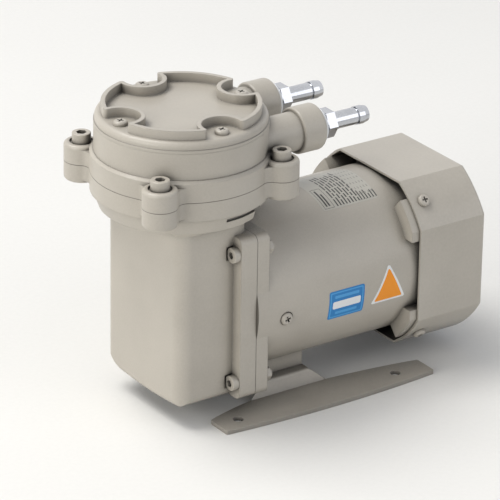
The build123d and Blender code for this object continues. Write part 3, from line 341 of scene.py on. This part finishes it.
def film(middle_x, angles, half_widths, height, columns=16):
    """Points and faces of one closed film. For row i and column s from -1 to 1 the point is
    (middle_x + s * half_widths[i], -r cos angles[i], axis_height + r sin angles[i]), with r the barrel's
    radius plus height on top and minus sink underneath."""
    s = np.linspace(-1, 1, columns)
    loop_s = np.concatenate([s, s[::-1]])
    loop_r = np.concatenate([np.full(columns, barrel_r + height), np.full(columns, barrel_r - sink)])
    angle = np.asarray(angles)[:, None]
    x = middle_x + loop_s[None, :] * np.asarray(half_widths)[:, None]
    points = np.stack([x, -loop_r * np.cos(angle), axis_height + loop_r * np.sin(angle)], axis=-1)
    rows, ring = points.shape[:2]
    i, j = np.meshgrid(np.arange(rows - 1), np.arange(ring), indexing="ij")
    k = (j + 1) % ring
    sides = np.stack([i * ring + j, i * ring + k, (i + 1) * ring + k, (i + 1) * ring + j], -1).reshape(-1, 4)
    c = np.arange(columns - 1)
    foot = np.stack([c, 2 * columns - 1 - c, 2 * columns - 2 - c, c + 1], -1)
    top = foot[:, ::-1] + (rows - 1) * ring
    return points.reshape(-1, 3), np.concatenate([sides, foot, top])


def sticker(name, layers):
    """One mesh from layers of (film, material), each material in its own slot."""
    points, faces, slots, materials, start = [], [], [], [], 0
    for (film_points, film_faces), material in layers:
        if material not in materials:
            materials.append(material)
        points.append(film_points)
        faces.append(film_faces + start)
        slots.append(np.full(len(film_faces), materials.index(material)))
        start += len(film_points)
    mesh = bpy.data.meshes.new(name)
    mesh.from_pydata(np.concatenate(points).tolist(), [], np.concatenate(faces).tolist())
    mesh.polygons.foreach_set("material_index", np.concatenate(slots).astype(np.int32))
    for material in materials:
        mesh.materials.append(material)
    piece = bpy.data.objects.new(name, mesh)
    bpy.context.scene.collection.objects.link(piece)
    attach(piece, "frame")
    print(name, "faces:", len(mesh.polygons))


def rounded_rows(half_height, half_width, corner, rows=20):
    """Row angles and half widths of a rectangle with round corners: near the ends the half width falls
    by corner - sqrt(corner^2 - d^2), where d is how far the row is inside the corner."""
    across_rows = half_height * np.sin(np.linspace(-np.pi / 2, np.pi / 2, rows))
    inside = np.clip(np.abs(across_rows) - (half_height - corner), 0, corner)
    return across_rows / barrel_r, half_width - corner + np.sqrt(corner ** 2 - inside ** 2 + 1e-12)


# %% [markdown]
# ## Sticker inks
# The inks are printed on glossy film: each one is a flat colour with a faint print grain. The
# nameplate is a satin foil close to the colour of the paint, ruled with dark bars where its data
# would be printed, and it carries no words.

# %% Print finishes
def printed(name, codes, rough=(0.30, 0.42), fine=2600, depth=0.000002):
    """A flat ink or foil: hardly any bump, and corners as sharp as a cut film's."""
    return surface(name, codes, rough, fine=fine, depth=depth, edge=0.00002)[0]


sign_blue = printed("sign_blue", ("#0C72B8", "#1682C6"))
pale_blue = printed("pale_blue", ("#3F97D2", "#4EA5DD"))
film_white = printed("film_white", ("#DFE1E2", "#EEEFEF"), (0.28, 0.40))
amber_print = printed("amber_print", ("#F08E02", "#F89E0A"))
satin_foil = printed("satin_foil", ("#B1AEA4", "#BFBCB2"), (0.30, 0.40), fine=1800, depth=0.000003)
print_black = printed("print_black", ("#2B2A2A", "#3A3938"), (0.35, 0.5))

# %% [markdown]
# ## The blue test sticker
# A small rounded rectangle on the side of the barrel, with a paler frame line and three bars. Each
# layer lies two hundredths of a millimetre above the last, as screen-printed ink does.

# %% Blue sticker
ink_t = 0.00002             # thickness of one layer of ink
film_t = 0.00006            # thickness of a sticker's film
blue_x, blue_angle = 0.0161, np.radians(-6.5)
blue_half_height, blue_half_width, blue_corner, frame_corner = 0.0084, 0.0114, 0.0012, 0.0010
angles, widths = rounded_rows(blue_half_height, blue_half_width, blue_corner)
blue_layers = [(film(blue_x, blue_angle + angles, widths, film_t), sign_blue)]
for inset, material, level in ((0.0008, pale_blue, 1), (0.0015, sign_blue, 2)):
    angles, widths = rounded_rows(blue_half_height - inset, blue_half_width - inset, frame_corner - inset / 3)
    blue_layers.append((film(blue_x, blue_angle + angles, widths, film_t + ink_t * level), material))
for offset, half_height, half_width, material in (
        (0.0048, 0.0008, 0.0078, pale_blue), (0.0, 0.0022, 0.0090, film_white),
        (-0.0048, 0.0008, 0.0070, pale_blue)):
    angles, widths = rounded_rows(half_height, half_width, half_height * 0.4, rows=8)
    blue_layers.append((film(blue_x, blue_angle + offset / barrel_r + angles, widths, film_t + ink_t * 3),
                        material))
sticker("blue_sticker", blue_layers)

# %% [markdown]
# ## The amber triangle
# A plain triangle with rounded corners and a white edge. Its half width falls evenly from the foot
# to the tip; close to each end the row is drawn in along a circle, which rounds the corners.

# %% Triangular sticker
def triangle_rows(half_base, height, corner, rows=28):
    """Row angles and half widths of a triangle: the half width is that of the sloping sides,
    half_base * (1 - t), with both ends drawn in by a quarter circle of the corner's radius."""
    t = (1 - np.cos(np.linspace(0, np.pi, rows))) / 2
    rise = t * height
    slope = half_base * (1 - t) + corner * 0.45
    foot_in = corner - np.sqrt(np.clip(corner ** 2 - (corner - np.clip(rise, 0, corner)) ** 2, 0, None))
    top = height - rise
    tip = np.sqrt(np.clip(corner ** 2 - (corner - np.clip(top, 0, corner)) ** 2, 1e-10, None))
    return rise / barrel_r, np.where(top < corner * 0.55, np.minimum(slope, tip), slope - foot_in)


triangle_x, triangle_foot = 0.0437, np.radians(-14.2)
half_base, triangle_height, triangle_corner = 0.0106, 0.0206, 0.0014
triangle_layers = []
for inset, material, level in ((0.0, film_white, 0), (0.0011, amber_print, 1)):
    angles, widths = triangle_rows(half_base - inset * 1.75, triangle_height - inset * 2.9,
                                   triangle_corner - inset * 0.4)
    triangle_layers.append((film(triangle_x, triangle_foot + (inset / barrel_r) + angles, widths,
                                 film_t + ink_t * level, columns=12), material))
sticker("triangle_sticker", triangle_layers)

# %% [markdown]
# ## The nameplate
# The foil lies on top of the barrel beside the pump head. Its print is a ruled box at the front,
# rows of short dark bars in the middle, and ruled lines at the back. Every bar runs round the barrel.

# %% Nameplate
foil_t = 0.00005
plate_x0, plate_x1 = 0.0160, 0.0515
plate_a0, plate_a1 = np.radians(60), np.radians(103)
plate_half_height = (plate_a1 - plate_a0) / 2 * barrel_r
angles, widths = rounded_rows(plate_half_height, (plate_x1 - plate_x0) / 2, 0.001)
plate_angle = (plate_a0 + plate_a1) / 2
plate_layers = [(film((plate_x0 + plate_x1) / 2, plate_angle + angles, widths, foil_t), satin_foil)]


def bar(x0, x1, arc0, arc1):
    """A dark bar from x0 to x1, from arc0 to arc1 in metres round the barrel, counted from the near edge."""
    return film((x0 + x1) / 2, plate_a0 + np.linspace(arc0, arc1, 8) / barrel_r, np.full(8, (x1 - x0) / 2),
                foil_t + ink_t, columns=4), print_black


thin, plate_arc = 0.00022, 2 * plate_half_height
margin, bar_margin = 0.0010, 0.0012
box_front, box_back = 0.0175, 0.0234
for x in (box_front, box_back):
    plate_layers.append(bar(x, x + thin, margin, 0.0170))
for arc in (margin, 0.0168):
    plate_layers.append(bar(box_front, box_back, arc, arc + thin))
for x, arc0, arc1 in ((0.0190, 0.0025, 0.0155), (0.0208, 0.0025, 0.0120)):
    plate_layers.append(bar(x, x + 0.0010, arc0, arc1))
random = np.random.default_rng(7)
for x in np.arange(0.0255, 0.0395, 0.0020):
    arc = bar_margin
    while arc < plate_arc - 0.006:
        length = random.uniform(0.0025, 0.0065)
        plate_layers.append(bar(x, x + 0.0008, arc, min(arc + length, plate_arc - bar_margin)))
        arc += length + 0.0010
for x in np.arange(0.0405, 0.0505, 0.0019):
    plate_layers.append(bar(x, x + thin, margin, plate_arc - margin))
    plate_layers.append(bar(x + 0.0007, x + 0.0014, bar_margin, random.uniform(0.004, 0.009)))
sticker("nameplate", plate_layers)

# %% [markdown]
# ## Floor
# The pump stands on a pale paper floor, far wider than anything that the camera sees of it.

# %% Floor
floor_half = 6.0
floor_mesh = bpy.data.meshes.new("floor")
floor_mesh.from_pydata([(-floor_half, -floor_half, 0), (floor_half, -floor_half, 0),
                        (floor_half, floor_half, 0), (-floor_half, floor_half, 0)], [], [(0, 1, 2, 3)])
floor = bpy.data.objects.new("floor", floor_mesh)
bpy.context.scene.collection.objects.link(floor)
floor_paper = surface("floor_paper", ("#E9E8E4", "#EFEEEA"), (0.7, 0.85),
                                                broad=3, fine=400, depth=0.00001)[0]
floor_mesh.materials.append(floor_paper)

# %% [markdown]
# ## World
# The world is white to the eye and in reflections, but gives only weak light. So the bright nickel has
# something pale to mirror, while the lamps shape the castings and the floor keeps a soft shadow.

# %% World
world = bpy.data.worlds.new("studio")
world.use_nodes = True
bpy.context.scene.world = world
sky = world.node_tree
sky.nodes.clear()
rays = add(sky, "LightPath")
seen = add(sky, "Math", {0: (rays, "Is Camera Ray"), 1: (rays, "Is Glossy Ray")}, operation="MAXIMUM")
through = add(sky, "Math", {0: (seen, "Value"), 1: (rays, "Is Transmission Ray")}, operation="MAXIMUM")
glow = add(sky, "Background", {"Color": linear("#ECF0F9"), "Strength": 0.40})
plain = add(sky, "Background", {"Color": (1, 1, 1, 1), "Strength": 1.0})
either = add(sky, "MixShader", {"Fac": (through, "Value"), 1: (glow, "Background"),
                                2: (plain, "Background")})
add(sky, "OutputWorld", {"Surface": (either, "Shader")})

# %% [markdown]
# ## Lamps
# Three square soft lamps look at the middle of the pump. Seen from the camera, a strong one is high up
# on the left, a weaker one lower at the front left, and a wide faint one on the right, which opens the
# shadows of the barrel.

# %% Lamps
lamp_aim = Vector((0, 0, 0.07))


def lamp(name, place, size, watts, colour):
    """A square soft lamp at place, turned so that it looks at the middle of the pump."""
    light = bpy.data.lights.new(name, "AREA")
    light.size, light.energy, light.color = size, watts, linear(colour)[:3]
    holder = bpy.data.objects.new(name, light)
    aim = lamp_aim - Vector(place)
    holder.matrix_world = Matrix.Translation(place) @ aim.to_track_quat("-Z", "Y").to_matrix().to_4x4()
    bpy.context.scene.collection.objects.link(holder)


lamp("key", (-0.9, 0.9, 2.6), 1.6, 62.0, "#FFFDFA")
lamp("front", (-2.2, -0.4, 0.9), 1.4, 21.0, "#FFFCF6")
lamp("right_fill", (1.6, -2.4, 1.2), 2.0, 14.0, "#F8F8FC")

# %% [markdown]
# ## Camera
# A long lens, far off, keeps the upright edges almost parallel. The camera's three axes are worked
# out from the direction it looks in and a small roll, and its position from the distance.

# %% Camera
azimuth, elevation, roll = np.radians(-35.4), np.radians(23.9), np.radians(0.92)
back = Vector((np.sin(azimuth) * np.cos(elevation), -np.cos(azimuth) * np.cos(elevation), np.sin(elevation)))
right = Vector((0, 0, 1)).cross(back).normalized()
up = back.cross(right)
target = Vector((0.0094, 0.0, 0.0787))
distance = 1.9948
off_left, off_down = 0.02043, 0.00966       # where the middle of the view lies, from the target
eye = target + distance * back
look = (eye - (target - off_left * right - off_down * up)).normalized()
side = Vector((0, 0, 1)).cross(look).normalized()
rise = look.cross(side)
turned_side = side * np.cos(roll) + rise * np.sin(roll)
turned_rise = rise * np.cos(roll) - side * np.sin(roll)
camera_data = bpy.data.cameras.new("camera")
camera_data.lens, camera_data.sensor_width = 269.5, 36.0
camera_data.clip_start, camera_data.clip_end = 0.1, 50.0
camera = bpy.data.objects.new("camera", camera_data)
camera.matrix_world = Matrix.Translation(eye) @ Matrix(
    (turned_side, turned_rise, look)).transposed().to_4x4()
bpy.context.scene.collection.objects.link(camera)
bpy.context.scene.camera = camera
bpy.context.scene.view_settings.view_transform = "Standard"
